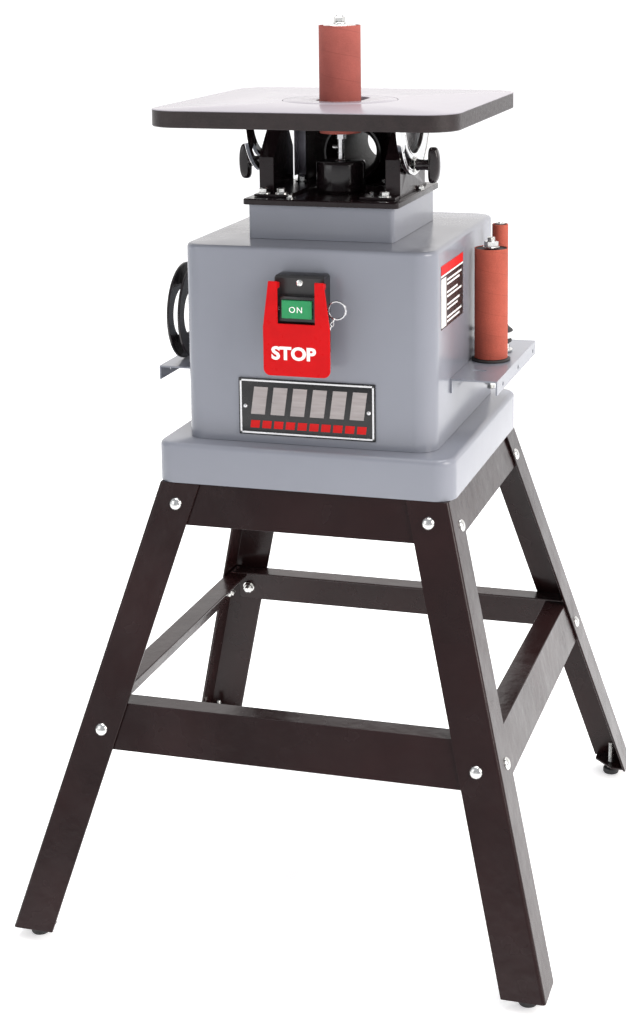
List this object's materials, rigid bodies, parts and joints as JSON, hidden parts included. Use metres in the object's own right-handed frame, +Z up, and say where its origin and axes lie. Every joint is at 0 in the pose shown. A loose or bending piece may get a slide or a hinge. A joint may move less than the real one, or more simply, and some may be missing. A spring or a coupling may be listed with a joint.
{
  "type": "oscillating spindle sander",
  "caption": "Floor-standing oscillating spindle sander with a tilting table, vertical sanding drum, belt-drive cabinet, safety switch, side storage trays and a splayed four-leg stand.",
  "frame": {"origin": "on the floor, under the middle of the stand", "axes": "+Z up along the spindle, -Y towards the operator and the switch, +X to the operator's right"},
  "size_m": [0.636, 0.656, 1.072],
  "materials": {
    "stand_black": "smooth black-brown gloss enamel",
    "cabinet_grey": "fine-textured blue-grey powder coat",
    "frame_black": "black powder coat",
    "laminate": "pale lavender-grey laminate on board with a dark edge band",
    "insert": "pale lavender-grey moulded plastic",
    "zinc": "bright zinc-plated steel",
    "steel": "ground steel",
    "cast_iron": "dark machined iron",
    "abrasive": "red-brown abrasive cloth",
    "stored_drum": "red-brown abrasive cloth on a rubber drum",
    "rubber": "black moulded rubber",
    "black_plastic": "black moulded plastic",
    "foot": "black rubber pad on a threaded stud",
    "red_plastic": "glossy red plastic",
    "green_plastic": "satin green plastic",
    "nameplate": "black-filled plate with a bright frame",
    "motor": "dark grey enamel"
  },
  "bodies": {
    "frame": {"leg_front_left": "stand_black", "leg_front_right": "stand_black", "leg_rear_left": "stand_black", "leg_rear_right": "stand_black", "stand_rail_front": "stand_black", "stand_rail_rear": "stand_black", "stand_rail_left": "stand_black", "stand_rail_right": "stand_black", "stand_brace_front": "stand_black", "stand_brace_rear": "stand_black", "stand_brace_left": "stand_black", "stand_brace_right": "stand_black", "base_tray": "cabinet_grey", "cabinet_shell": "cabinet_grey", "rear_cover": "cabinet_grey", "neck_box": "cabinet_grey", "mounting_plate": "frame_black", "cord_gland": "black_plastic", "nameplate": "nameplate", "switch_housing": "black_plastic", "tray_right": "cabinet_grey", "tray_left": "cabinet_grey", "stored_drum_large": "stored_drum", "storage_stud_large": "zinc", "stored_drum_small": "stored_drum", "storage_stud_small": "zinc", "stored_insert_outer": "black_plastic", "stored_insert_inner": "black_plastic", "tilt_bracket_left": "frame_black", "tilt_bracket_right": "frame_black", "dust_port": "black_plastic", "dust_port_bracket": "frame_black", "spindle_housing": "frame_black", "motor_mount": "motor", "motor_housing": "motor", "drive_belt": "rubber"},
    "table": {"table_top": "laminate", "table_insert": "insert", "trunnion_left": "zinc", "trunnion_right": "zinc"},
    "lock_knob_left": {"lock_knob_left": "black_plastic"},
    "lock_knob_right": {"lock_knob_right": "black_plastic"},
    "quill": {"quill": "steel"},
    "spindle": {"spindle_shaft": "steel", "drum_core": "rubber", "sanding_sleeve": "abrasive", "drum_washer": "zinc", "drum_nut": "zinc"},
    "spindle_pulley": {"spindle_pulley": "cast_iron"},
    "motor_rotor": {"motor_shaft": "steel", "motor_pulley": "cast_iron"},
    "worm_wheel": {"worm_wheel": "steel"},
    "on_button": {"on_button": "green_plastic"},
    "off_button": {"off_button": "red_plastic"},
    "stop_paddle": {"stop_paddle": "red_plastic"},
    "lock_pin": {"lock_pin": "steel"},
    "levelling_foot_front_left": {"levelling_foot_front_left": "foot"},
    "levelling_foot_front_right": {"levelling_foot_front_right": "foot"},
    "levelling_foot_rear_left": {"levelling_foot_rear_left": "foot"},
    "levelling_foot_rear_right": {"levelling_foot_rear_right": "foot"}
  },
  "joints": [
    {"name": "table_tilt", "type": "hinge", "parent": "frame", "child": "table", "pos_m": [0, -0.02, 0.958], "axis": [1, 0, 0], "range_deg": [0, 45]},
    {"name": "lock_knob_left_turn", "type": "hinge", "parent": "frame", "child": "lock_knob_left", "pos_m": [-0.1, -0.02, 0.894], "axis": [-1, 0, 0], "range_deg": [0, 180]},
    {"name": "lock_knob_right_turn", "type": "hinge", "parent": "frame", "child": "lock_knob_right", "pos_m": [0.1, -0.02, 0.894], "axis": [1, 0, 0], "range_deg": [0, 180]},
    {"name": "spindle_oscillation", "type": "slide", "parent": "frame", "child": "quill", "axis": [0, 0, 1], "range_m": [0, 0.025]},
    {"name": "spindle_spin", "type": "hinge", "parent": "quill", "child": "spindle", "pos_m": [0, -0.01, 0.9], "axis": [0, 0, 1], "continuous": true},
    {"name": "spindle_pulley_spin", "type": "hinge", "parent": "frame", "child": "spindle_pulley", "pos_m": [0, -0.01, 0.715], "axis": [0, 0, 1], "continuous": true},
    {"name": "motor_spin", "type": "hinge", "parent": "frame", "child": "motor_rotor", "pos_m": [0, 0.1, 0.715], "axis": [0, 0, 1], "continuous": true},
    {"name": "worm_wheel_spin", "type": "hinge", "parent": "frame", "child": "worm_wheel", "pos_m": [0, -0.0505, 0.752], "axis": [1, 0, 0], "continuous": true},
    {"name": "on_button_press", "type": "slide", "parent": "frame", "child": "on_button", "axis": [0, 1, 0], "range_m": [0, 0.003], "stiffness_N_per_m": 400},
    {"name": "off_button_press", "type": "slide", "parent": "frame", "child": "off_button", "axis": [0, 1, 0], "range_m": [0, 0.0025], "stiffness_N_per_m": 400},
    {"name": "stop_paddle_swing", "type": "hinge", "parent": "frame", "child": "stop_paddle", "pos_m": [0, -0.184, 0.7725], "axis": [-1, 0, 0], "range_deg": [-3, 80]},
    {"name": "lock_pin_pull", "type": "slide", "parent": "frame", "child": "lock_pin", "axis": [1, 0, 0], "range_m": [0, 0.05]},
    {"name": "levelling_foot_front_left_screw", "type": "slide", "parent": "frame", "child": "levelling_foot_front_left", "axis": [0, 0, -1], "range_m": [0, 0.012]},
    {"name": "levelling_foot_front_right_screw", "type": "slide", "parent": "frame", "child": "levelling_foot_front_right", "axis": [0, 0, -1], "range_m": [0, 0.012]},
    {"name": "levelling_foot_rear_left_screw", "type": "slide", "parent": "frame", "child": "levelling_foot_rear_left", "axis": [0, 0, -1], "range_m": [0, 0.012]},
    {"name": "levelling_foot_rear_right_screw", "type": "slide", "parent": "frame", "child": "levelling_foot_rear_right", "axis": [0, 0, -1], "range_m": [0, 0.012]}
  ],
  "couplings": [
    {"joint": "spindle_pulley_spin", "follows": "motor_spin", "ratio": 1},
    {"joint": "spindle_spin", "follows": "motor_spin", "ratio": 1},
    {"joint": "worm_wheel_spin", "follows": "motor_spin", "ratio": 0.041667}
  ]
}
